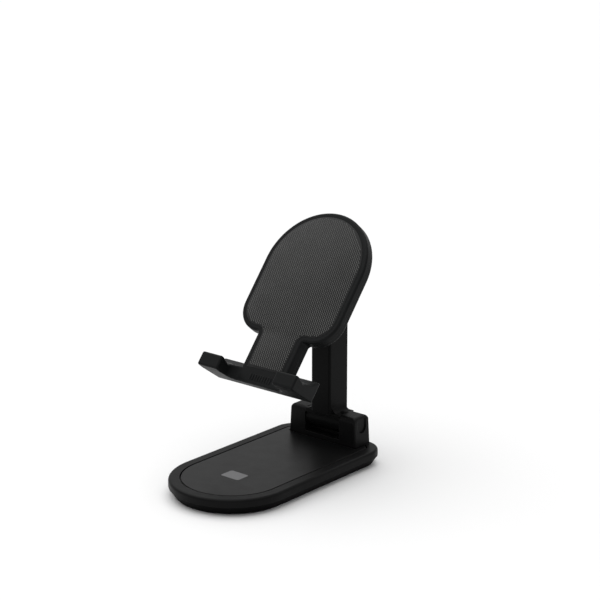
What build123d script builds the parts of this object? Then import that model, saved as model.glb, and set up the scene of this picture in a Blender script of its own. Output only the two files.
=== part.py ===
"""Folding desktop phone stand: weighted D-shaped base, hinged telescopic column, tilting cradle.

Millimetres, +Z up. The origin is on the table, under the middle of the base. The rounded front of
the base points to -Y and the column stands at the back. Every moving part is drawn at rest: column
upright, inner bar pushed down, cradle leaning back.
"""
from build123d import *
import math
import os

os.makedirs("parts", exist_ok=True)

# ---------------------------------------------------------------- driving dimensions

# Base, seen from above: a half circle in front, straight sides, two rounded corners at the back
base_width = 65.0
base_length = 116.4
back_corner_r = 12.4
base_bottom_z = 0.6
parting_z = 4.8
base_top_z = 8.8
bottom_inset = 2.9
rim_round = 1.4
panel_thickness = 1.5
panel_groove = 0.7
panel_inset = 6.35
pad_thickness = 0.8
pad_inset = 5.0
floor_top_z = 2.6
cavity_top_z = 6.0
shell_wall = 3.2
ballast_inset = 6.4
base_head_seat_z = 1.9
ballast_bottom_z = 2.7
ballast_top_z = 5.8
boss_r = 2.6
boss_bottom_z = 2.7
ballast_hole_r = 3.1
badge_y = -24.6
badge_width = 11.6
badge_height = 8.4
badge_sunk = 0.15

# Hinge block and its pin, which runs along X
block_half = 22.7
block_top_half = 21.5
block_front_y = 43.8
block_back_y = 56.3
block_top_z = 24.4
block_corner_r = 1.0
block_round = 2.6
slot_half = 11.5
sill_z = 11.3
back_wall_z = 14.5
hinge_y = 50.0
hinge_z = 19.0
web_outer = 16.0
cap_r = 3.45
cap_gap = 0.15
cap_face_x = 21.2
cap_depth = 1.6
pin_r = 2.0
thread_r = 1.5
pin_head_r = 3.1
pin_head = 1.7
pin_thread = 3.4
nut_half = 2.75
nut_x = 17.15
nut_height = 2.2
washer_r = 3.2
washer_cone = 0.2
washer_thickness = 0.3
running_gap = 0.05

# Column: a moulded foot between the ears, and a rectangular sleeve
foot_half = 11.35
foot_top_z = 24.2
foot_round = 2.1
barrel_r = 5.8
barrel_gap = 0.35
shoulder_z = 21.9
foot_front_y = 43.9
foot_back_y = 56.2
column_width = 12.8
column_depth = 15.2
column_round = 1.2
column_top_z = 84.0
flare_r = 3.4
flare_inset = 0.7
cavity_width = 8.6
cavity_depth = 11.0
cavity_floor_z = 28.5
bush_wall = 0.9
bush_bottom_z = 77.0
bush_flange = 0.8
stop_z = 72.0
stop_r = 1.0
stop_head_r = 1.9
stop_head = 0.9
stop_point = 2.5
disc_r = 5.0
disc_thickness = 0.6
disc_seat = 0.25

# Inner bar, which slides up out of the sleeve
bar_width = 8.2
bar_depth = 10.6
bar_bottom_z = 30.0
bar_top_z = 90.0
travel = 30.0
groove_depth = 1.6
glide_height = 4.95
tenon_inset = 1.2
leaf_bottom = 36.2
leaf_top = 46.2
leaf_width = 4.8
leaf_thickness = 0.2
leaf_pocket = 1.2
head_pin_z = 87.3
head_pin_r = 1.0
head_pin_half = 5.9
head_top_z = 89.3
head_round = 1.0
knuckle_half = 6.25
knuckle_r = 6.6

# Cradle: a paddle on a neck, with a tray and two hooks at its foot
tilt_y = hinge_y
tilt_z = 95.0
lean = 39.5
axis_behind = 17.0
axis_up = 63.8
paddle_r = 31.6
paddle_centre = 62.0
paddle_corner_r = 14.0
edge_round = 1.2
paddle_bottom = 22.0
neck_front_half = 14.2
neck_back_half = 16.0
neck_round = 1.5
plate_front = -0.2
plate_split = -3.6
plate_back = -6.6
border = 2.8
pad_recess = 1.2
pad_foot = 2.6
pad_gap = 0.05
tray_half = 31.5
tray_bottom = -6.8
tray_back_bottom = -5.6
tray_back_top = 4.8
lip_front = 12.5
lip_inner = 10.4
lip_top = 0.7
lip_round = 1.0
lip_foot = 8.0
floor_low = (-0.9, 5.2)
floor_high = (1.5, -0.6)
floor_back_n = -5.2
gap_depth = 0.2
gap_half_back = 17.6
gap_half_front = 18.2
gap_corner_r = 5.0
rib_count = 9
rib_pitch = 1.6
rib_width = 0.8
rib_height = 3.6
rib_centre = -2.4
rib_relief = 0.35
hook_pad_x = 23.8
hook_pad_width = 11.0
hook_pad_depth = 4.6
hook_pad_sunk = 0.7
lug_inner = 6.55
lug_outer = 11.2
lug_r = 6.4
lug_web = 8.6
tilt_cap_r = 3.7
tilt_cap_depth = 0.9
tilt_head = 1.5
tilt_thread = 1.6
tilt_nut_height = 1.3
bracket_back = -9.2
bracket_width = 29.0
bracket_height = 34.0
lug_flare = 73.0

# Small screws: radii of shank, head and recess
screw_r = 1.2
screw_head_r = 2.1
screw_gap = 0.05
screw_bite = 1.6
head_height = 1.0
head_sunk = 1.2
socket_r = 0.9
socket_depth = 0.6

# ---------------------------------------------------------------- shared outlines and planes

front_centre_y = (base_width - base_length) / 2
lean_rad = math.radians(lean)
front_normal = Vector(0, -math.cos(lean_rad), math.sin(lean_rad))
cradle_up = Vector(0, math.sin(lean_rad), math.cos(lean_rad))
cradle_origin = Vector(0, tilt_y, tilt_z) + front_normal * axis_behind - cradle_up * axis_up
neck_split_half = neck_front_half + (neck_back_half - neck_front_half) * plate_split / plate_back
cradle_plane = Plane(origin=cradle_origin, x_dir=(1, 0, 0), z_dir=front_normal)

tray_plan_plane = Plane(origin=cradle_plane.from_local_coords((0, tray_bottom - 1, 0)),
                        x_dir=(1, 0, 0), z_dir=cradle_up)


# The tray's floor slopes up towards the plate; the hook pads lie on it, one in each hook
floor_front = Vector(0, *floor_low)
floor_back = Vector(0, *floor_high)
floor_middle = (floor_front + floor_back) * 0.5
floor_slope = (floor_back - floor_front).normalized()
floor_normal = Vector(1, 0, 0).cross(cradle_up * floor_slope.Y + front_normal * floor_slope.Z)
hook_pad_planes = [
    Plane(origin=cradle_plane.from_local_coords((x, floor_middle.Y, floor_middle.Z)),
          x_dir=(1, 0, 0), z_dir=floor_normal)
    for x in (-hook_pad_x, hook_pad_x)
]
pad_neck_round = neck_round + border


def save(piece, name):
    """Label a finished piece and write it as one STEP file."""
    piece.part.label = name
    export_step(piece.part, f"parts/{name}.step")


def d_outline(inset, z):
    """The base's plan at height z, moved inwards by inset."""
    half = base_width / 2 - inset
    back_y = base_length / 2 - inset
    with BuildSketch(Plane.XY.offset(z)) as plan:
        with Locations((0, front_centre_y)):
            Circle(half)
        with Locations((0, (front_centre_y + back_y) / 2)):
            Rectangle(2 * half, back_y - front_centre_y)
        fillet(plan.vertices().group_by(Axis.Y)[-1], back_corner_r - inset)
    return plan.sketch


def column_section(width, depth, radius, z):
    """A rounded rectangle centred on the column at height z."""
    with BuildSketch(Plane.XY.offset(z)) as section:
        with Locations((0, hinge_y)):
            RectangleRounded(width, depth, radius)
    return section.sketch


def side_plane(x):
    """A plane across X whose sketch axes are Y and Z."""
    return Plane(origin=(x, 0, 0), x_dir=(0, 1, 0), z_dir=(1, 0, 0))


def cradle_side(x):
    """A plane across X whose sketch axes run up the cradle and out of its face."""
    return Plane(origin=cradle_plane.from_local_coords((x, 0, 0)), x_dir=cradle_up, z_dir=(1, 0, 0))


def disc_on_x(x, centre_y, centre_z, radius):
    """A round sketch across X, at the given place."""
    with BuildSketch(side_plane(x)) as face:
        with Locations((centre_y, centre_z)):
            Circle(radius)
    return face.sketch


def u_outline(x, radius):
    """The hinge pocket's outline: round below the pin, open through the top of the block."""
    height = block_top_z + 1 - hinge_z
    with BuildSketch(side_plane(x)) as face:
        with Locations((hinge_y, hinge_z)):
            Circle(radius)
        with Locations((hinge_y, hinge_z + height / 2)):
            Rectangle(2 * radius, height)
    return face.sketch


def cradle_outline(inset, foot, neck, neck_fillet, height):
    """The cradle's front view at a height over its face, from foot upwards, moved in by inset."""
    bottom = paddle_bottom + inset
    half = paddle_r - inset
    neck_half = neck - inset
    with BuildSketch(cradle_plane.offset(height)) as view:
        with Locations((0, (bottom + paddle_centre) / 2)):
            Rectangle(2 * half, paddle_centre - bottom)
        fillet(view.vertices().group_by(Axis.Y)[0], paddle_corner_r - inset)
        with Locations((0, paddle_centre)):
            Circle(half)
        with Locations((0, (foot + bottom + 2) / 2)):
            Rectangle(2 * neck_half, bottom + 2 - foot)
        inner_corners = view.vertices().filter_by_position(Axis.Y, bottom - 0.1, bottom + 0.1)
        fillet(inner_corners.group_by(lambda corner: round(abs(corner.X), 2))[0], neck_fillet)
    return view.sketch


def in_cradle(edge):
    """The middle of an edge: across, up the cradle, and out of its face."""
    return cradle_plane.to_local_coords(edge.center())


def beside_gap(edge):
    """True for the hooks' edges that face the cable gap."""
    place = in_cradle(edge)
    return gap_half_back - 0.6 < abs(place.X) < gap_half_front + 0.6 and place.Z > 4.5


def on_paddle_rim(edge):
    """True for the front edges of the paddle and neck."""
    place = in_cradle(edge)
    return abs(place.Z - plate_front) < 0.01 and place.Y > tray_back_top


screw_places = [(-19.0, -25.0), (19.0, -25.0), (-19.0, 28.0), (19.0, 28.0)]
cradle_screw_places = [(-22.0, 41.0), (22.0, 41.0), (-17.0, 81.0), (17.0, 81.0)]
bracket_screw_places = [(side * 9.5, axis_up + rise) for side in (-1, 1) for rise in (-12.6, 12.6)]

# ---------------------------------------------------------------- base

# Hinge block, whose sides lean in towards the top; the shell and the hinge caps are cut from it
with BuildPart() as hinge_block:
    with BuildSketch(Plane.XZ.offset(-block_back_y)):
        with BuildLine():
            Polyline((-block_half, cavity_top_z), (block_half, cavity_top_z),
                     (block_top_half, block_top_z), (-block_top_half, block_top_z), close=True)
        make_face()
    extrude(amount=block_back_y - block_front_y)
    fillet(hinge_block.faces().sort_by(Axis.Z)[-1].edges(), block_round)
    straight_edges = hinge_block.edges().filter_by(GeomType.LINE)
    upright_edges = straight_edges.filter_by(Axis.X, reverse=True).filter_by(Axis.Y, reverse=True)
    fillet(upright_edges, block_corner_r)

# Upper shell: rim, deck and the two hinge ears
with BuildPart() as upper_shell:
    extrude(d_outline(0, parting_z), amount=base_top_z - parting_z)
    fillet(upper_shell.faces().sort_by(Axis.Z)[-1].edges(), rim_round)
    extrude(d_outline(panel_inset - panel_groove, base_top_z - panel_thickness),
            amount=panel_thickness, mode=Mode.SUBTRACT)
    extrude(d_outline(shell_wall, parting_z), amount=cavity_top_z - parting_z, mode=Mode.SUBTRACT)
    add(hinge_block.part)
    # Slot for the column's foot: open above the back wall, open in front down to the sill
    with BuildSketch(side_plane(-slot_half)):
        with BuildLine():
            Polyline((block_front_y - 5, sill_z), (hinge_y, sill_z), (hinge_y, back_wall_z),
                     (block_back_y + 5, back_wall_z), (block_back_y + 5, block_top_z + 5),
                     (block_front_y - 5, block_top_z + 5), close=True)
        make_face()
        with Locations((hinge_y, hinge_z)):
            Circle(barrel_r + barrel_gap)
    extrude(amount=2 * slot_half, mode=Mode.SUBTRACT)
    # Pin bore through both ears, and a pocket outside each
    extrude(disc_on_x(-block_half, hinge_y, hinge_z, pin_r + running_gap),
            amount=2 * block_half, mode=Mode.SUBTRACT)
    for pocket_x in (-block_half, web_outer):
        extrude(u_outline(pocket_x, cap_r), amount=block_half - web_outer, mode=Mode.SUBTRACT)
    # Screw bosses
    with BuildSketch(Plane.XY.offset(boss_bottom_z)):
        with Locations(screw_places):
            Circle(boss_r)
            Circle(screw_r - 0.05, mode=Mode.SUBTRACT)
    extrude(amount=cavity_top_z - boss_bottom_z)
save(upper_shell, "base_upper_shell")

# Lower shell: a tray whose sides taper in towards the table
with BuildPart() as lower_shell:
    loft([d_outline(bottom_inset, base_bottom_z), d_outline(0.15, parting_z)], ruled=True)
    extrude(d_outline(shell_wall, floor_top_z), amount=parting_z - floor_top_z, mode=Mode.SUBTRACT)
    extrude(d_outline(pad_inset - 0.15, base_bottom_z), amount=pad_thickness - base_bottom_z,
            mode=Mode.SUBTRACT)
    with BuildSketch(Plane.XY.offset(base_bottom_z)):
        with Locations(screw_places):
            Circle(screw_r + screw_gap)
    extrude(amount=floor_top_z - base_bottom_z, mode=Mode.SUBTRACT)
    with BuildSketch(Plane.XY.offset(base_bottom_z)):
        with Locations(screw_places):
            Circle(screw_head_r + screw_gap)
    extrude(amount=base_head_seat_z - base_bottom_z, mode=Mode.SUBTRACT)
save(lower_shell, "base_lower_shell")

# Inlaid top panel, cut out around the hinge block
with BuildPart() as top_panel:
    extrude(d_outline(panel_inset, base_top_z - panel_thickness), amount=panel_thickness)
    chamfer(top_panel.faces().sort_by(Axis.Z)[-1].edges(), 0.2)
    with BuildSketch(Plane.XY.offset(base_top_z - panel_thickness)):
        with Locations((0, block_front_y + 10)):
            Rectangle(2 * block_half + 0.5, 20.5)
    extrude(amount=panel_thickness, mode=Mode.SUBTRACT)
    with BuildSketch(Plane.XY.offset(base_top_z - badge_sunk)):
        with Locations((0, badge_y)):
            RectangleRounded(badge_width + 0.2, badge_height + 0.2, 1.2)
    extrude(amount=badge_sunk, mode=Mode.SUBTRACT)
save(top_panel, "base_top_panel")

# Plain printed badge, inlaid in the panel
with BuildPart() as badge:
    with BuildSketch(Plane.XY.offset(base_top_z - badge_sunk)):
        with Locations((0, badge_y)):
            RectangleRounded(badge_width, badge_height, 1.1)
    extrude(amount=badge_sunk + 0.05)
save(badge, "panel_badge")

# Steel ballast with a clearance hole round each boss
with BuildPart() as ballast:
    extrude(d_outline(ballast_inset, ballast_bottom_z), amount=ballast_top_z - ballast_bottom_z)
    with BuildSketch(Plane.XY.offset(ballast_bottom_z)):
        with Locations(screw_places):
            Circle(ballast_hole_r)
    extrude(amount=ballast_top_z - ballast_bottom_z, mode=Mode.SUBTRACT)
    chamfer(ballast.faces().sort_by(Axis.Z)[-1].outer_wire().edges(), 0.4)
save(ballast, "ballast_plate")

with BuildPart() as foot_pad:
    extrude(d_outline(pad_inset, 0), amount=pad_thickness)
    chamfer(foot_pad.faces().sort_by(Axis.Z)[0].edges(), 0.25)
save(foot_pad, "foot_pad")

# Four screws from below, hidden by the foot pad
with BuildPart() as base_screws:
    with BuildSketch(Plane.XY.offset(base_head_seat_z - head_height)):
        with Locations(screw_places):
            Circle(screw_head_r)
    extrude(amount=head_height)
    with BuildSketch(Plane.XY.offset(base_head_seat_z)):
        with Locations(screw_places):
            Circle(screw_r - 0.1)
    extrude(amount=cavity_top_z - 0.5 - base_head_seat_z)
    with BuildSketch(Plane.XY.offset(base_head_seat_z - head_height)):
        with Locations(screw_places):
            RegularPolygon(socket_r, 6)
    extrude(amount=socket_depth, mode=Mode.SUBTRACT)
save(base_screws, "base_screws")

# ---------------------------------------------------------------- base hinge hardware

# Shoulder pin: head on the left, thread on the right
with BuildPart() as hinge_pin:
    extrude(disc_on_x(-web_outer, hinge_y, hinge_z, pin_r), amount=2 * web_outer)
    extrude(disc_on_x(-web_outer - pin_head, hinge_y, hinge_z, pin_head_r), amount=pin_head)
    chamfer(hinge_pin.edges().group_by(Axis.X)[0], 0.4)
    extrude(disc_on_x(web_outer, hinge_y, hinge_z, thread_r), amount=pin_thread)
    chamfer(hinge_pin.edges().group_by(Axis.X)[-1], 0.3)
save(hinge_pin, "hinge_pin")

# Two cupped spring washers, back to back, that load the friction hinge
hinge_centre = Plane(origin=(0, hinge_y, hinge_z), x_dir=(1, 0, 0), z_dir=(0, 0, 1))
with BuildPart() as hinge_washers:
    for x, near in ((web_outer + 0.05, 0), (web_outer + 0.6, washer_cone)):
        far = washer_cone - near
        with BuildSketch(hinge_centre) as cone:
            with BuildLine():
                Polyline((x + near, thread_r + 0.05), (x + near + washer_thickness, thread_r + 0.05),
                         (x + far + washer_thickness, washer_r), (x + far, washer_r), close=True)
            make_face()
        revolve(cone.sketch, axis=Axis((0, hinge_y, hinge_z), (1, 0, 0)))
save(hinge_washers, "hinge_washers")

with BuildPart() as hinge_nut:
    with BuildSketch(side_plane(nut_x)):
        with Locations((hinge_y, hinge_z)):
            RegularPolygon(nut_half, 6, major_radius=False)
            Circle(thread_r + 0.02, mode=Mode.SUBTRACT)
    extrude(amount=nut_height)
    chamfer(hinge_nut.edges().filter_by(GeomType.LINE).group_by(Axis.X)[-1], 0.25)
save(hinge_nut, "hinge_nut")

# Friction discs between the foot and the ears
with BuildPart() as hinge_discs:
    for x in (-slot_half + 0.02, slot_half - disc_thickness - 0.02):
        extrude(disc_on_x(x, hinge_y, hinge_z, disc_r), amount=disc_thickness)
        extrude(disc_on_x(x, hinge_y, hinge_z, pin_r + 0.1), amount=disc_thickness,
                mode=Mode.SUBTRACT)
save(hinge_discs, "hinge_friction_discs")

# U-shaped covers that close the ears: flush with their tops, a little sunk in their sides
pocket_depth = cap_face_x - web_outer
for name, start, hollow_start in (("hinge_cap_left", -cap_face_x, -cap_face_x + cap_depth),
                                  ("hinge_cap_right", web_outer, web_outer)):
    with BuildPart() as hinge_cap:
        add(hinge_block.part)
        extrude(u_outline(start, cap_r - cap_gap), amount=pocket_depth, mode=Mode.INTERSECT)
        # Room behind the face for the pin's head or nut; the tab above closes the pocket
        with BuildSketch(side_plane(hollow_start)):
            with Locations((hinge_y, hinge_z)):
                Rectangle(2 * cap_r, 2 * cap_r + 0.2)
        extrude(amount=pocket_depth - cap_depth, mode=Mode.SUBTRACT)
    save(hinge_cap, name)

# ---------------------------------------------------------------- column

with BuildPart() as column:
    # Foot: barrel round the pin, shoulders in front and behind
    with BuildSketch(side_plane(-foot_half)):
        with Locations((hinge_y, hinge_z)):
            Circle(barrel_r)
        with BuildLine():
            Polyline((foot_front_y, shoulder_z), (hinge_y, shoulder_z),
                     (hinge_y, back_wall_z + 0.1), (foot_back_y, back_wall_z + 0.1),
                     (foot_back_y, foot_top_z), (foot_front_y, foot_top_z), close=True)
        make_face()
    extrude(amount=2 * foot_half)
    top_edges = column.faces().sort_by(Axis.Z)[-1].edges().filter_by(Axis.X)
    fillet(top_edges, foot_round)
    # Concave flare between the foot's top and the sleeve's sides
    flare_half = column_width / 2 + flare_r
    flare_top = block_top_z + flare_r
    with BuildSketch(Plane.XZ.offset(-foot_back_y + flare_inset)) as flare:
        with BuildLine():
            Line((-column_width / 2, flare_top), (column_width / 2, flare_top))
            RadiusArc((column_width / 2, flare_top), (flare_half, block_top_z), -flare_r)
            Polyline((flare_half, block_top_z), (flare_half, block_top_z - 1),
                     (-flare_half, block_top_z - 1), (-flare_half, block_top_z))
            RadiusArc((-flare_half, block_top_z), (-column_width / 2, flare_top), -flare_r)
        make_face()
    extrude(amount=foot_back_y - foot_front_y - 2 * flare_inset)
    # Sleeve
    extrude(column_section(column_width, column_depth, column_round, block_top_z - 0.4),
            amount=column_top_z - block_top_z + 0.4)
    extrude(column_section(cavity_width, cavity_depth, 1.0, cavity_floor_z),
            amount=column_top_z - cavity_floor_z, mode=Mode.SUBTRACT)
    extrude(column_section(cavity_width + 2 * bush_wall, cavity_depth + 2 * bush_wall, 1.4,
                           bush_bottom_z), amount=column_top_z - bush_bottom_z, mode=Mode.SUBTRACT)
    # Pin bore, disc recesses and the stop screw's hole
    extrude(disc_on_x(-foot_half, hinge_y, hinge_z, pin_r + running_gap), amount=2 * foot_half,
            mode=Mode.SUBTRACT)
    for x in (-foot_half, foot_half - disc_thickness + 0.1):
        extrude(disc_on_x(x, hinge_y, hinge_z, disc_r + 0.1), amount=disc_thickness - 0.1,
                mode=Mode.SUBTRACT)
    with BuildSketch(Plane.XZ.offset(-hinge_y - column_depth / 2)):
        with Locations((0, stop_z)):
            Circle(stop_r + screw_gap)
    extrude(amount=4, mode=Mode.SUBTRACT)
    with BuildSketch(Plane.XZ.offset(-hinge_y - column_depth / 2)):
        with Locations((0, stop_z)):
            Circle(stop_head_r + 0.1)
    extrude(amount=stop_head + 0.1, mode=Mode.SUBTRACT)
save(column, "column_sleeve")

# Guide bush in the mouth of the sleeve
bush_outer_w = cavity_width + 2 * bush_wall - 0.1
bush_outer_d = cavity_depth + 2 * bush_wall - 0.1
with BuildPart() as bush:
    extrude(column_section(bush_outer_w, bush_outer_d, 1.35, bush_bottom_z + 0.05),
            amount=column_top_z - bush_bottom_z - 0.05)
    extrude(column_section(column_width - 0.3, column_depth - 0.3, column_round, column_top_z),
            amount=bush_flange)
    fillet(bush.faces().sort_by(Axis.Z)[-1].edges(), 0.35)
    extrude(column_section(bar_width + 0.12, bar_depth + 0.12, 0.9, bush_bottom_z),
            amount=column_top_z - bush_bottom_z + bush_flange, mode=Mode.SUBTRACT)
save(bush, "sleeve_bush")

# Stop screw: its dog point rides in the bar's groove
stop_face = Plane.XZ.offset(-hinge_y - column_depth / 2 + 0.05)
with BuildPart() as stop_screw:
    with BuildSketch(stop_face):
        with Locations((0, stop_z)):
            Circle(stop_head_r)
    extrude(amount=stop_head)
    with BuildSketch(stop_face.offset(stop_head)):
        with Locations((0, stop_z)):
            Circle(stop_r)
    extrude(amount=stop_point)
    with BuildSketch(stop_face):
        with Locations((0, stop_z)):
            RegularPolygon(0.8, 6)
    extrude(amount=0.5, mode=Mode.SUBTRACT)
save(stop_screw, "stop_screw")

# ---------------------------------------------------------------- inner bar

bar_foot_z = bar_bottom_z + glide_height + 0.05
groove_top = stop_z + stop_r + 0.2
groove_bottom = stop_z - stop_r - 0.2 - travel
with BuildPart() as inner_bar:
    extrude(column_section(bar_width, bar_depth, 0.85, bar_foot_z), amount=bar_top_z - bar_foot_z)
    # Tenon for the glide at the foot
    extrude(column_section(bar_width - 2 * tenon_inset, bar_depth - 2 * tenon_inset, 0.6,
                           bar_bottom_z + 1), amount=bar_foot_z - bar_bottom_z - 1)
    # Groove for the stop screw at the back, pocket for the leaf spring in front
    with BuildSketch(Plane.XZ.offset(-hinge_y - bar_depth / 2)):
        with Locations((0, (groove_top + groove_bottom) / 2)):
            SlotOverall(groove_top - groove_bottom, 2 * stop_r + 0.2, rotation=90)
    extrude(amount=groove_depth, mode=Mode.SUBTRACT)
    with BuildSketch(Plane.XZ.offset(-hinge_y + bar_depth / 2)):
        with Locations((0, (leaf_bottom + leaf_top) / 2)):
            Rectangle(leaf_width + 0.4, leaf_top - leaf_bottom + 0.8)
    extrude(amount=-leaf_pocket, mode=Mode.SUBTRACT)
    extrude(disc_on_x(-bar_width, hinge_y, head_pin_z, head_pin_r + 0.02), amount=2 * bar_width,
            mode=Mode.SUBTRACT)
save(inner_bar, "inner_bar")

with BuildPart() as glide:
    extrude(column_section(cavity_width - 0.12, cavity_depth - 0.12, 0.95, bar_bottom_z),
            amount=glide_height)
    chamfer(glide.faces().sort_by(Axis.Z)[0].edges(), 0.3)
    extrude(column_section(bar_width - 2 * tenon_inset + 0.04, bar_depth - 2 * tenon_inset + 0.04,
                           0.62, bar_bottom_z + 0.95), amount=glide_height, mode=Mode.SUBTRACT)
save(glide, "bar_glide")

# Bowed steel leaf that presses on the sleeve's front wall
leaf_face_y = hinge_y - cavity_depth / 2 + 0.04
leaf_back_y = hinge_y - bar_depth / 2 + leaf_pocket - leaf_thickness - 0.05
leaf_middle = (leaf_bottom + leaf_top) / 2
with BuildPart() as leaf:
    with BuildSketch(side_plane(-leaf_width / 2)):
        with BuildLine():
            ThreePointArc((leaf_back_y, leaf_bottom), (leaf_face_y, leaf_middle), (leaf_back_y, leaf_top))
            Line((leaf_back_y, leaf_top), (leaf_back_y + leaf_thickness, leaf_top))
            ThreePointArc((leaf_back_y + leaf_thickness, leaf_top),
                          (leaf_face_y + leaf_thickness, leaf_middle),
                          (leaf_back_y + leaf_thickness, leaf_bottom))
            Line((leaf_back_y + leaf_thickness, leaf_bottom), (leaf_back_y, leaf_bottom))
        make_face()
    extrude(amount=leaf_width)
save(leaf, "friction_leaf_spring")

# Head: collar over the sleeve's mouth, and the knuckle that carries the cradle
head_bottom_z = column_top_z + bush_flange + 0.1
with BuildPart() as head:
    extrude(column_section(column_width - 0.3, column_depth - 0.3, column_round, head_bottom_z),
            amount=head_top_z - head_bottom_z)
    fillet(head.faces().sort_by(Axis.Z)[-1].edges(), head_round)
    fillet(head.faces().sort_by(Axis.Z)[0].edges(), 0.35)
    with BuildSketch(side_plane(-knuckle_half)):
        with Locations((tilt_y, tilt_z)):
            Circle(knuckle_r)
        with Locations((tilt_y, (tilt_z + head_bottom_z + 2) / 2)):
            Rectangle(2 * knuckle_r, tilt_z - head_bottom_z - 2)
    extrude(amount=2 * knuckle_half)
    extrude(disc_on_x(-knuckle_half, tilt_y, tilt_z, pin_r + running_gap), amount=2 * knuckle_half,
            mode=Mode.SUBTRACT)
    extrude(column_section(bar_width + 0.04, bar_depth + 0.04, 0.87, head_bottom_z),
            amount=bar_top_z + 0.05 - head_bottom_z, mode=Mode.SUBTRACT)
    extrude(disc_on_x(-column_width, hinge_y, head_pin_z, head_pin_r + 0.02),
            amount=2 * column_width, mode=Mode.SUBTRACT)
    for x in (-knuckle_half, knuckle_half - disc_seat):
        extrude(disc_on_x(x, tilt_y, tilt_z, disc_r + 0.1), amount=disc_seat, mode=Mode.SUBTRACT)
save(head, "bar_head")

with BuildPart() as head_pin:
    extrude(disc_on_x(-head_pin_half, hinge_y, head_pin_z, head_pin_r), amount=2 * head_pin_half)
    chamfer(head_pin.edges().group_by(Axis.X)[0], 0.2)
    chamfer(head_pin.edges().group_by(Axis.X)[-1], 0.2)
save(head_pin, "bar_head_pin")

# ---------------------------------------------------------------- tilt hinge hardware

# Friction discs between the knuckle and the lugs
with BuildPart() as tilt_discs:
    tilt_disc = lug_inner - knuckle_half + disc_seat - 0.03
    for x in (-lug_inner + 0.03, knuckle_half - disc_seat):
        extrude(disc_on_x(x, tilt_y, tilt_z, disc_r), amount=tilt_disc)
        extrude(disc_on_x(x, tilt_y, tilt_z, pin_r + 0.1), amount=disc_thickness,
                mode=Mode.SUBTRACT)
save(tilt_discs, "tilt_friction_discs")

with BuildPart() as tilt_bolt:
    extrude(disc_on_x(-lug_web, tilt_y, tilt_z, pin_r), amount=2 * lug_web)
    extrude(disc_on_x(-lug_web - tilt_head, tilt_y, tilt_z, pin_head_r), amount=tilt_head)
    chamfer(tilt_bolt.edges().group_by(Axis.X)[0], 0.3)
    extrude(disc_on_x(lug_web, tilt_y, tilt_z, thread_r), amount=tilt_thread)
save(tilt_bolt, "tilt_bolt")

with BuildPart() as tilt_washer:
    washer_x = lug_web + 0.02
    extrude(disc_on_x(washer_x, tilt_y, tilt_z, washer_r), amount=washer_thickness)
    extrude(disc_on_x(washer_x, tilt_y, tilt_z, thread_r + 0.05), amount=washer_thickness,
            mode=Mode.SUBTRACT)
save(tilt_washer, "tilt_spring_washer")

with BuildPart() as tilt_nut:
    with BuildSketch(side_plane(lug_web + 0.34)):
        with Locations((tilt_y, tilt_z)):
            RegularPolygon(nut_half, 6, major_radius=False)
            Circle(thread_r + 0.02, mode=Mode.SUBTRACT)
    extrude(amount=tilt_nut_height)
save(tilt_nut, "tilt_nut")

for name, x in (("tilt_cap_left", -lug_outer), ("tilt_cap_right", lug_outer - tilt_cap_depth)):
    with BuildPart() as tilt_cap:
        extrude(disc_on_x(x, tilt_y, tilt_z, tilt_cap_r - cap_gap), amount=tilt_cap_depth)
        outer_edge = tilt_cap.edges().sort_by(lambda edge: abs(edge.center().X))[-1]
        chamfer(outer_edge, 0.2)
    save(tilt_cap, name)

# ---------------------------------------------------------------- cradle

# Bracket: a plate screwed to the back cover, with a lug on each side of the knuckle
with BuildPart() as bracket:
    with BuildSketch(cradle_plane.offset(bracket_back)):
        with Locations((0, axis_up)):
            RectangleRounded(bracket_width, bracket_height, 4.0)
    extrude(amount=plate_back - bracket_back)
    fillet(bracket.faces().sort_by(Axis(cradle_origin, front_normal))[0].edges(), 0.8)
    for x in (-lug_outer, lug_inner):
        with BuildSketch(cradle_side(x)) as lug:
            with Locations((axis_up, -axis_behind)):
                Circle(lug_r)
            with Locations((axis_up, (bracket_back + 1 - axis_behind) / 2)):
                Trapezoid(2 * lug_r + 5.0, axis_behind + bracket_back + 1, lug_flare, rotation=180)
        extrude(amount=lug_outer - lug_inner)
    extrude(disc_on_x(-lug_outer, tilt_y, tilt_z, pin_r + running_gap), amount=2 * lug_outer,
            mode=Mode.SUBTRACT)
    for x in (-lug_outer, lug_web):
        extrude(disc_on_x(x, tilt_y, tilt_z, tilt_cap_r), amount=lug_outer - lug_web,
                mode=Mode.SUBTRACT)
    with BuildSketch(cradle_plane.offset(bracket_back)):
        with Locations(bracket_screw_places):
            Circle(screw_r + screw_gap)
    extrude(amount=plate_back - bracket_back, mode=Mode.SUBTRACT)
    with BuildSketch(cradle_plane.offset(bracket_back)):
        with Locations(bracket_screw_places):
            Circle(screw_head_r + screw_gap)
    extrude(amount=head_sunk, mode=Mode.SUBTRACT)
save(bracket, "tilt_bracket")

with BuildPart() as bracket_screws:
    with BuildSketch(cradle_plane.offset(bracket_back + head_sunk - head_height)):
        with Locations(bracket_screw_places):
            Circle(screw_head_r)
    extrude(amount=head_height)
    with BuildSketch(cradle_plane.offset(bracket_back + head_sunk)):
        with Locations(bracket_screw_places):
            Circle(screw_r - 0.1)
    extrude(amount=plate_split + screw_bite - 0.2 - bracket_back - head_sunk)
    with BuildSketch(cradle_plane.offset(bracket_back + head_sunk - head_height)):
        with Locations(bracket_screw_places):
            RegularPolygon(socket_r, 6)
    extrude(amount=socket_depth, mode=Mode.SUBTRACT)
save(bracket_screws, "bracket_screws")

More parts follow.
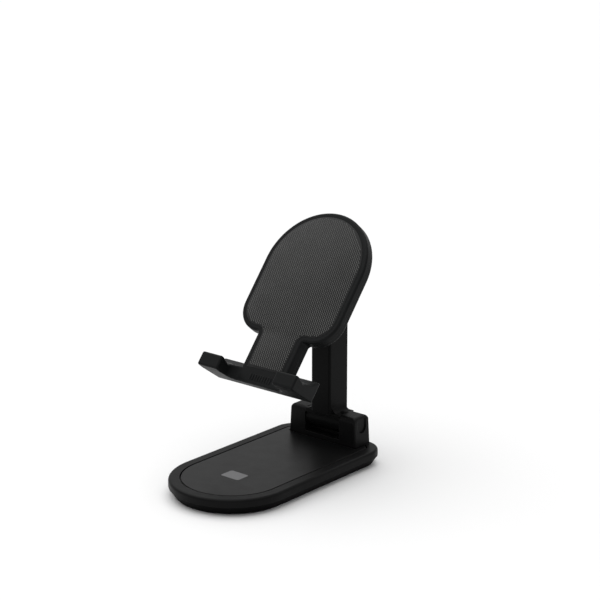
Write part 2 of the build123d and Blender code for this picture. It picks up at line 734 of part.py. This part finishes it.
# Frame: paddle, neck, and the tray with its two hooks
with BuildPart() as frame:
    # Side profile of the tray, drawn up the cradle and out of its face
    with BuildSketch(cradle_side(-tray_half)) as tray_side:
        with BuildLine():
            Polyline((lip_top, lip_front), (lip_top, lip_inner), floor_low, floor_high,
                     (tray_back_top, floor_back_n), (tray_back_top, plate_back),
                     (tray_back_bottom, plate_back), (tray_bottom, lip_foot),
                     (tray_bottom, lip_front), close=True)
        make_face()
        fillet(tray_side.vertices().group_by(Axis.Y)[-1], lip_round)
    extrude(amount=2 * tray_half)
    fillet(frame.faces().filter_by(Axis.X).edges(), lip_round)
    # Cut the cable gap between the hooks, and round its edges
    with BuildSketch(tray_plan_plane) as gap:
        with BuildLine():
            Polyline((-gap_half_front, -lip_front - 1), (-gap_half_back, gap_depth),
                     (gap_half_back, gap_depth), (gap_half_front, -lip_front - 1), close=True)
        make_face()
        fillet(gap.vertices().group_by(Axis.Y)[-1], gap_corner_r)
    extrude(amount=tray_back_top - tray_bottom + 8, mode=Mode.SUBTRACT)
    fillet(frame.edges().filter_by(beside_gap), lip_round)
    # Paddle and neck, rounded along the front
    loft([cradle_outline(0, tray_bottom + 1.5, neck_front_half, neck_round, plate_front),
          cradle_outline(0, tray_bottom + 1.5, neck_split_half, neck_round, plate_split)], ruled=True)
    fillet(frame.edges().filter_by(on_paddle_rim), edge_round)
    # Recess for the pad
    extrude(cradle_outline(border - pad_gap, pad_foot - pad_gap, neck_front_half, pad_neck_round,
                           -pad_recess), amount=pad_recess, mode=Mode.SUBTRACT)
    # Fine upright ribs in the middle of the bar, between the hooks
    with BuildSketch(cradle_plane.offset(plate_front)):
        with Locations((0, rib_centre)):
            with GridLocations(rib_pitch, 0, rib_count, 1):
                SlotOverall(rib_height, rib_width, rotation=90)
    extrude(amount=rib_relief)
    # Shallow seats for the two hook pads
    for seat in hook_pad_planes:
        with BuildSketch(seat):
            RectangleRounded(hook_pad_width + 0.1, hook_pad_depth + 0.1, 1.0)
        extrude(amount=-hook_pad_sunk, mode=Mode.SUBTRACT)
    # Pilot holes for the screws that come from behind
    with BuildSketch(cradle_plane.offset(plate_split)):
        with Locations(cradle_screw_places + bracket_screw_places):
            Circle(screw_r - 0.05)
    extrude(amount=screw_bite, mode=Mode.SUBTRACT)
save(frame, "cradle_frame")

# Back cover, behind the paddle and neck
with BuildPart() as cover:
    loft([cradle_outline(0, tray_back_top, neck_split_half, neck_round, plate_split),
          cradle_outline(0, tray_back_top, neck_back_half, neck_round, plate_back)], ruled=True)
    fillet(cover.faces().sort_by(Axis(cradle_origin, front_normal))[0].edges(), edge_round)
    with BuildSketch(cradle_plane.offset(plate_back)):
        with Locations(cradle_screw_places + bracket_screw_places):
            Circle(screw_r + screw_gap)
    extrude(amount=plate_split - plate_back, mode=Mode.SUBTRACT)
    with BuildSketch(cradle_plane.offset(plate_back)):
        with Locations(cradle_screw_places):
            Circle(screw_head_r + screw_gap)
    extrude(amount=head_sunk, mode=Mode.SUBTRACT)
save(cover, "cradle_back_cover")

with BuildPart() as cradle_screws:
    with BuildSketch(cradle_plane.offset(plate_back + head_sunk - head_height)):
        with Locations(cradle_screw_places):
            Circle(screw_head_r)
    extrude(amount=head_height)
    with BuildSketch(cradle_plane.offset(plate_back + head_sunk)):
        with Locations(cradle_screw_places):
            Circle(screw_r - 0.1)
    extrude(amount=plate_split + screw_bite - 0.2 - plate_back - head_sunk)
    with BuildSketch(cradle_plane.offset(plate_back + head_sunk - head_height)):
        with Locations(cradle_screw_places):
            RegularPolygon(socket_r, 6)
    extrude(amount=socket_depth, mode=Mode.SUBTRACT)
save(cradle_screws, "cradle_screws")

# Silicone pad that the phone leans on
with BuildPart() as pad:
    extrude(cradle_outline(border, pad_foot, neck_front_half, pad_neck_round, -pad_recess),
            amount=pad_recess)
    chamfer(pad.faces().sort_by(Axis(cradle_origin, front_normal))[-1].edges(), 0.15)
save(pad, "cradle_pad")

for name, seat in zip(("hook_pad_left", "hook_pad_right"), hook_pad_planes):
    with BuildPart() as hook_pad:
        with BuildSketch(seat.offset(-hook_pad_sunk)):
            RectangleRounded(hook_pad_width, hook_pad_depth, 1.0)
        extrude(amount=hook_pad_sunk + 0.2)
        chamfer(hook_pad.faces().sort_by(Axis(seat.origin, seat.z_dir))[-1].edges(), 0.15)
    save(hook_pad, name)
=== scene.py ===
"""Looks of the folding desktop phone stand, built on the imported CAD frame. Metres, +Z up."""
import math

import bmesh
import bpy
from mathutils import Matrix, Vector
from mathutils.bvhtree import BVHTree


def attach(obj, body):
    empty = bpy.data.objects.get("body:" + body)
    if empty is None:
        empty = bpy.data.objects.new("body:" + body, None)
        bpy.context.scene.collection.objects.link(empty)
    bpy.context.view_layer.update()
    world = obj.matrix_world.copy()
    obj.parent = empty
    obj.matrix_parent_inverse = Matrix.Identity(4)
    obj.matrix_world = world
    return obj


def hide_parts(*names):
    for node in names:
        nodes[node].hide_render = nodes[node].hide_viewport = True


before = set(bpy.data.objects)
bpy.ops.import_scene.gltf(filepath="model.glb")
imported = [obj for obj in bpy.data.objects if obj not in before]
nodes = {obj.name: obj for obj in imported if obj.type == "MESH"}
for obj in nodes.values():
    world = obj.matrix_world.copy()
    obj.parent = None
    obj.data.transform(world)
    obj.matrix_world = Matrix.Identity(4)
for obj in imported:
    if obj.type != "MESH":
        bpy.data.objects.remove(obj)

scene = bpy.context.scene
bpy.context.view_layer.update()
MM = 0.001


# ---------------------------------------------------------------- node helpers

def new_material(name, **settings):
    """A node material with constant shader settings: the material, its node tree and its shader."""
    material = bpy.data.materials.new(name)
    material.use_nodes = True
    tree = material.node_tree
    shader = tree.nodes["Principled BSDF"]
    for socket, value in settings.items():
        shader.inputs[socket.replace("_", " ")].default_value = value
    return material, tree, shader


def feed(tree, target, value):
    """Sets an input to a plain value, or links another node's output to it."""
    if isinstance(value, bpy.types.NodeSocket):
        tree.links.new(value, target)
    else:
        target.default_value = value


def add(tree, kind, **inputs):
    """A shader node with the named inputs fed."""
    node = tree.nodes.new(kind)
    for socket, value in inputs.items():
        feed(tree, node.inputs[socket.replace("_", " ")], value)
    return node


def calculated(tree, operation, *values):
    """The result of a math operation on plain values or other nodes' outputs."""
    node = tree.nodes.new("ShaderNodeMath")
    node.operation = operation
    for target, value in zip(node.inputs, values):
        feed(tree, target, value)
    return node.outputs["Value"]


def noise(tree, feature, detail=2.0, roughness=0.5):
    """Noise whose grains are about as large as the feature size in metres, fixed to the object."""
    place = add(tree, "ShaderNodeTexCoord")
    return add(tree, "ShaderNodeTexNoise", Vector=place.outputs["Object"], Scale=1 / feature,
               Detail=detail, Roughness=roughness).outputs["Fac"]


def spread(tree, value, low, high, start=0.3, end=0.7):
    """The part of a value between start and end, stretched from low to high."""
    stretch = add(tree, "ShaderNodeMapRange", Value=value)
    for socket, number in (("From Min", start), ("From Max", end), ("To Min", low), ("To Max", high)):
        stretch.inputs[socket].default_value = number
    return stretch.outputs["Result"]


def mixed(tree, factor, first, second):
    """The first colour where the factor is 0, and the second where it is 1."""
    blend = tree.nodes.new("ShaderNodeMix")
    blend.data_type = "RGBA"
    sockets = {socket.identifier: socket for socket in (*blend.inputs, *blend.outputs)}
    feed(tree, sockets["Factor_Float"], factor)
    for socket, colour in (("A_Color", first), ("B_Color", second)):
        feed(tree, sockets[socket], (*colour, 1) if isinstance(colour, tuple) else colour)
    return sockets["Result_Color"]


def edge_wear(tree, radius, reach):
    """The rounded normal along the edges, and a value that grows from 0 to 1 towards them."""
    rounded = add(tree, "ShaderNodeBevel", Radius=radius)
    rounded.samples = 6
    flat = add(tree, "ShaderNodeNewGeometry")
    agreement = tree.nodes.new("ShaderNodeVectorMath")
    agreement.operation = "DOT_PRODUCT"
    for target, source in zip(agreement.inputs, (rounded, flat)):
        tree.links.new(source.outputs["Normal"], target)
    return rounded.outputs["Normal"], spread(tree, agreement.outputs["Value"], 1, 0, 1 - reach, 1.0)


def bump(tree, height, distance, normal, strength=1.0):
    """A bumped normal over another one."""
    return add(tree, "ShaderNodeBump", Height=height, Distance=distance, Strength=strength,
               Normal=normal).outputs["Normal"]


def shaded(colour, share):
    """The colour made darker or lighter by a share."""
    return tuple(min(1.0, channel * share) for channel in colour)


# ---------------------------------------------------------------- materials

# How the moulded plastics wear: how far round an edge the rubbing and a painted edge highlight reach,
# what rubbing and scuffs do to the roughness, and how much the roughness and the colour vary over the
# surface
EDGE_RUB_AND_HIGHLIGHT_REACH = 0.12
RUBBED_POLISH = -0.12
SCUFFED_ROUGHNESS = 0.04
UNEVEN_GLOSS = 0.035
UNEVEN_SHADE = 0.82


def moulded_plastic(name, colour, worn_and_highlit, rough, grain, depth, specular, edge=0.25 * MM):
    """Moulded plastic: a spark-eroded grain, uneven gloss, handling marks, edges lightened partly by
    rubbing wear and partly by a painted edge highlight.
    """
    material, tree, shader = new_material(name, Specular_IOR_Level=specular)
    normal, wear = edge_wear(tree, edge, EDGE_RUB_AND_HIGHLIGHT_REACH)
    cloud = noise(tree, 9 * MM, detail=3)
    fine = noise(tree, grain, detail=2, roughness=0.6)
    flow = noise(tree, 2.2 * MM, detail=2)
    scuffs = spread(tree, noise(tree, 1.6 * MM, detail=6, roughness=0.75), 0, 1, 0.56, 0.72)
    rubbed_and_highlit = calculated(tree, "MULTIPLY", wear, spread(tree, flow, 0.35, 1))
    toned = mixed(tree, spread(tree, cloud, 0, 1), shaded(colour, UNEVEN_SHADE), colour)
    # Edges lightened towards a paler colour: partly rubbing wear, partly a painted highlight along the
    # edges
    tree.links.new(mixed(tree, rubbed_and_highlit, toned, worn_and_highlit), shader.inputs["Base Color"])
    gloss = spread(tree, cloud, rough - UNEVEN_GLOSS, rough + UNEVEN_GLOSS)
    polished = calculated(tree, "MULTIPLY_ADD", rubbed_and_highlit, RUBBED_POLISH, gloss)
    marked = calculated(tree, "MULTIPLY_ADD", scuffs, SCUFFED_ROUGHNESS, polished)
    tree.links.new(marked, shader.inputs["Roughness"])
    waved = bump(tree, flow, 0.004 * MM, normal)
    tree.links.new(bump(tree, fine, depth, waved), shader.inputs["Normal"])
    return material


def silicone(name, colour, rough):
    """Soft silicone: matte with a faint bloom of dust, a fine skin and a little sheen."""
    material, tree, shader = new_material(name, Specular_IOR_Level=0.22, Sheen_Weight=0.12,
                                          Sheen_Roughness=0.45)
    normal, wear = edge_wear(tree, 0.18 * MM, 0.2)
    dust = spread(tree, noise(tree, 1.1 * MM, detail=5, roughness=0.7), 0, 0.5, 0.52, 0.75)
    bloom = spread(tree, noise(tree, 12 * MM, detail=3), 0, 1)
    dusty = tuple(channel * 1.5 + 0.004 for channel in colour)
    toned = mixed(tree, bloom, shaded(colour, 0.8), colour)
    tree.links.new(mixed(tree, dust, toned, dusty), shader.inputs["Base Color"])
    tree.links.new(spread(tree, wear, rough, rough - 0.08, 0, 1), shader.inputs["Roughness"])
    skin = noise(tree, 0.16 * MM, detail=2)
    tree.links.new(bump(tree, skin, 0.006 * MM, normal), shader.inputs["Normal"])
    return material


def metal(name, colour, rough, brushed):
    """Turned or ground metal, slightly stained by oil; brushed scales its fine lines along x, y, z."""
    material, tree, shader = new_material(name, Metallic=1.0)
    normal, wear = edge_wear(tree, 0.12 * MM, 0.2)
    place = add(tree, "ShaderNodeTexCoord").outputs["Object"]
    squeeze = add(tree, "ShaderNodeMapping", Vector=place, Scale=brushed)
    lines = add(tree, "ShaderNodeTexNoise", Vector=squeeze.outputs["Vector"], Scale=1 / (0.12 * MM),
                Detail=3.0).outputs["Fac"]
    stain = spread(tree, noise(tree, 3 * MM, detail=4, roughness=0.6), 0, 1)
    toned = mixed(tree, stain, shaded(colour, 0.72), colour)
    tree.links.new(mixed(tree, wear, toned, shaded(colour, 1.35)), shader.inputs["Base Color"])
    tree.links.new(spread(tree, lines, rough - 0.07, rough + 0.09), shader.inputs["Roughness"])
    tree.links.new(bump(tree, lines, 0.003 * MM, normal), shader.inputs["Normal"])
    return material


def print_ink(name, colour):
    """Screen-printed ink on grained plastic: thin, with the grain showing through."""
    material, tree, shader = new_material(name, Specular_IOR_Level=0.3)
    fine = noise(tree, 0.22 * MM, detail=2, roughness=0.6)
    pinholes = spread(tree, noise(tree, 0.35 * MM, detail=3, roughness=0.6), 0, 1, 0.28, 0.4)
    tree.links.new(mixed(tree, pinholes, shaded(colour, 0.6), colour), shader.inputs["Base Color"])
    tree.links.new(spread(tree, fine, 0.42, 0.56), shader.inputs["Roughness"])
    flat = add(tree, "ShaderNodeNewGeometry").outputs["Normal"]
    tree.links.new(bump(tree, fine, 0.006 * MM, flat), shader.inputs["Normal"])
    return material


# The paler edge colours are partly wear and partly a painted edge highlight
shell_black = moulded_plastic(
    "shell_black", colour=(0.0046, 0.0046, 0.0047), worn_and_highlit=(0.022, 0.022, 0.0225),
    rough=0.42, grain=0.28 * MM, depth=0.012 * MM, specular=0.07)
panel_black = moulded_plastic(
    "panel_black", colour=(0.0046, 0.0046, 0.0047), worn_and_highlit=(0.020, 0.020, 0.0205),
    rough=0.36, grain=0.20 * MM, depth=0.005 * MM, specular=0.11, edge=0.15 * MM)
under_black = moulded_plastic(
    "under_black", colour=(0.0030, 0.0030, 0.0031), worn_and_highlit=(0.012, 0.012, 0.0122),
    rough=0.50, grain=0.30 * MM, depth=0.014 * MM, specular=0.02)
column_black = moulded_plastic(
    "column_black", colour=(0.0042, 0.0043, 0.0043), worn_and_highlit=(0.020, 0.020, 0.0205),
    rough=0.40, grain=0.25 * MM, depth=0.009 * MM, specular=0.045)
cradle_black = moulded_plastic(
    "cradle_black", colour=(0.0060, 0.0065, 0.0066), worn_and_highlit=(0.026, 0.027, 0.0275),
    rough=0.44, grain=0.30 * MM, depth=0.012 * MM, specular=0.08)
guide_black = moulded_plastic(
    "guide_black", colour=(0.009, 0.009, 0.009), worn_and_highlit=(0.022, 0.022, 0.022),
    rough=0.55, grain=0.22 * MM, depth=0.006 * MM, specular=0.15, edge=0.12 * MM)
pad_silicone = silicone("pad_silicone", colour=(0.0075, 0.0075, 0.0077), rough=0.62)
# Lighter grey for the dome tops: partly dust caught on the raised dots, partly a painted sheen on them
dot_dust_and_sheen = silicone("dot_dust_and_sheen", colour=(0.090, 0.090, 0.087), rough=0.55)
foot_silicone = silicone("foot_silicone", colour=(0.010, 0.010, 0.0105), rough=0.72)
bar_metal = metal("bar_metal", colour=(0.055, 0.055, 0.058), rough=0.38, brushed=(1.0, 1.0, 0.02))
turned_steel = metal("turned_steel", colour=(0.50, 0.50, 0.51), rough=0.30, brushed=(1.0, 0.05, 1.0))
oxide_steel = metal("oxide_steel", colour=(0.045, 0.045, 0.047), rough=0.42, brushed=(1.0, 1.0, 0.3))
ballast_steel = metal("ballast_steel", colour=(0.33, 0.33, 0.34), rough=0.45, brushed=(0.04, 1.0, 1.0))
badge_grey = print_ink("badge_grey", colour=(0.115, 0.115, 0.118))

finishes = {
    shell_black: ("base_upper_shell", "hinge_cap_left", "hinge_cap_right"),
    under_black: ("base_lower_shell",),
    panel_black: ("base_top_panel",),
    column_black: ("column_sleeve", "bar_head", "tilt_bracket", "tilt_cap_left", "tilt_cap_right"),
    cradle_black: ("cradle_frame", "cradle_back_cover"),
    guide_black: ("sleeve_bush", "bar_glide", "hinge_friction_discs", "tilt_friction_discs"),
    pad_silicone: ("cradle_pad", "hook_pad_left", "hook_pad_right"),
    foot_silicone: ("foot_pad",),
    bar_metal: ("inner_bar",),
    turned_steel: ("hinge_pin", "hinge_nut", "hinge_washers", "friction_leaf_spring", "tilt_bolt",
                   "tilt_nut", "tilt_spring_washer"),
    oxide_steel: ("base_screws", "bracket_screws", "cradle_screws", "stop_screw", "bar_head_pin"),
    ballast_steel: ("ballast_plate",),
    badge_grey: ("panel_badge",),
}
for finish, names in finishes.items():
    for name in names:
        for slot in nodes[name].material_slots:
            slot.link = "OBJECT"
            slot.material = finish


# ---------------------------------------------------------------- textured silicone pads

DOME_ANGLES = [turn * math.tau / 8 for turn in range(8)]
# A dome's two rings: their share of its width, and of its height. The lower one is under the face.
DOME_RINGS = ((1.0, -0.1), (0.68, 0.72))
DOME_SHARP_ANGLE = math.radians(40)
SAME_POINT = 0.001 * MM
SAME_LEVEL = 0.01 * MM


def pad_face(mesh):
    """The pad's front face: how far out it lies, and its directions across, up and out."""
    facing = [face for face in mesh.polygons if face.normal.y < 0 or face.normal.z > 0.9]
    out = max(facing, key=lambda face: face.area).normal.copy()
    across = Vector((1, 0, 0))
    level = max(vertex.co.dot(out) for vertex in mesh.vertices)
    return level, across, out.cross(across), out


def dotted_pad(name, pitch, dot_length, dot_width, dot_height, margin):
    """The CAD pad with low oval domes on its face, in rows at 45 degrees and a margin from its edge."""
    cad = nodes[name].data
    level, across, up, out = pad_face(cad)
    surface = BVHTree.FromPolygons([vertex.co for vertex in cad.vertices],
                                   [face.vertices for face in cad.polygons])
    start = [min(vertex.co.dot(axis) for vertex in cad.vertices) for axis in (across, up)]
    end = [max(vertex.co.dot(axis) for vertex in cad.vertices) for axis in (across, up)]
    face_centre = (across * (start[0] + end[0]) + up * (start[1] + end[1])) / 2 + out * level
    reach = int((end[0] - start[0] + end[1] - start[1]) / pitch)
    along = (across - up).normalized()
    beside = (across + up).normalized()
    turns = [(along * math.cos(angle), beside * math.sin(angle)) for angle in DOME_ANGLES]
    circle = [forward + sideways for forward, sideways in turns]
    oval = [(forward * dot_length + sideways * dot_width) / 2 for forward, sideways in turns]

    def on_face(place):
        """True where the pad's front face lies under the place."""
        hit = surface.ray_cast(place + out * MM, -out, 2 * MM)[0]
        return hit is not None and abs(hit.dot(out) - level) < SAME_LEVEL

    dotted = bmesh.new()
    dotted.from_mesh(cad)
    bmesh.ops.remove_doubles(dotted, verts=dotted.verts, dist=SAME_POINT)
    for row in range(-reach, reach):
        for column in range(-reach, reach):
            middle = face_centre + (along * column + beside * row) * pitch
            if not on_face(middle) or not all(on_face(middle + step * margin) for step in circle):
                continue
            lower, upper = ([dotted.verts.new(middle + step * size + out * height * dot_height)
                             for step in oval] for size, height in DOME_RINGS)
            tip = dotted.verts.new(middle + out * dot_height)
            faces = [dotted.faces.new(reversed(lower))]
            for index, corner in enumerate(lower):
                following = (index + 1) % len(lower)
                faces.append(dotted.faces.new((corner, lower[following], upper[following],
                                               upper[index])))
                faces.append(dotted.faces.new((upper[index], upper[following], tip)))
            # The domes take the second, lighter material: partly dust, partly a painted sheen
            for face in faces:
                face.material_index = 1
    mesh = bpy.data.meshes.new(name + "_dotted")
    dotted.to_mesh(mesh)
    dotted.free()
    mesh.shade_smooth()
    mesh.set_sharp_from_angle(angle=DOME_SHARP_ANGLE)
    mesh.materials.append(pad_silicone)
    mesh.materials.append(dot_dust_and_sheen)
    pad = bpy.data.objects.new(name + "_dotted", mesh)
    scene.collection.objects.link(pad)
    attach(pad, "cradle")
    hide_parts(name)


dotted_pad("cradle_pad", pitch=1.02 * MM, dot_length=0.96 * MM, dot_width=0.56 * MM,
           dot_height=0.16 * MM, margin=0.75 * MM)
for hook_pad in ("hook_pad_left", "hook_pad_right"):
    dotted_pad(hook_pad, pitch=1.02 * MM, dot_length=0.84 * MM, dot_width=0.54 * MM,
               dot_height=0.12 * MM, margin=0.5 * MM)


# ---------------------------------------------------------------- camera, light and floor

def look(thing, target):
    """Turns a camera or light so that it looks at the target."""
    thing.rotation_euler = (target - thing.location).to_track_quat("-Z", "Y").to_euler()


def direction(azimuth, elevation):
    """The unit vector from the object towards a viewer; azimuth 0 stands in front, on -Y."""
    across, up = math.radians(azimuth), math.radians(elevation)
    return Vector((math.sin(across) * math.cos(up), -math.cos(across) * math.cos(up), math.sin(up)))


camera_aim = Vector((0.0, 0.0260, 0.0889))
camera_azimuth = 40.19
camera_elevation = 15.90
camera_distance = 0.9506
camera_data = bpy.data.cameras.new("camera")
camera_data.lens = 112.3
camera_data.sensor_width = 36.0
camera = bpy.data.objects.new("camera", camera_data)
scene.collection.objects.link(camera)
camera.location = camera_aim + direction(camera_azimuth, camera_elevation) * camera_distance
look(camera, camera_aim)
scene.camera = camera

# A wide soft light from high up behind on the left
overhead = bpy.data.lights.new("overhead", "SUN")
overhead.energy = 2.0
overhead.angle = math.radians(85)
overhead_light = bpy.data.objects.new("overhead", overhead)
scene.collection.objects.link(overhead_light)
overhead_light.location = direction(azimuth=250, elevation=72)
look(overhead_light, Vector())

world = bpy.data.worlds.new("studio")
world.use_nodes = True
background = world.node_tree.nodes["Background"]
background.inputs["Color"].default_value = (1.0, 1.0, 1.0, 1)
background.inputs["Strength"].default_value = 0.62
scene.world = world

floor_mesh = bpy.data.meshes.new("floor")
floor_half = 15.0
floor_mesh.from_pydata([(-floor_half, -floor_half, 0), (floor_half, -floor_half, 0),
                        (floor_half, floor_half, 0), (-floor_half, floor_half, 0)], [], [(0, 1, 2, 3)])
floor = bpy.data.objects.new("floor", floor_mesh)
scene.collection.objects.link(floor)
floor_paint, floor_tree, floor_shader = new_material("floor_paint", Specular_IOR_Level=0.2,
                                                     Roughness=0.6)
floor_tone = spread(floor_tree, noise(floor_tree, 0.3, detail=2), 0, 1)
floor_tree.links.new(mixed(floor_tree, floor_tone, (0.84, 0.84, 0.84), (0.86, 0.86, 0.86)),
                     floor_shader.inputs["Base Color"])
floor_mesh.materials.append(floor_paint)

scene.view_settings.view_transform = "Standard"
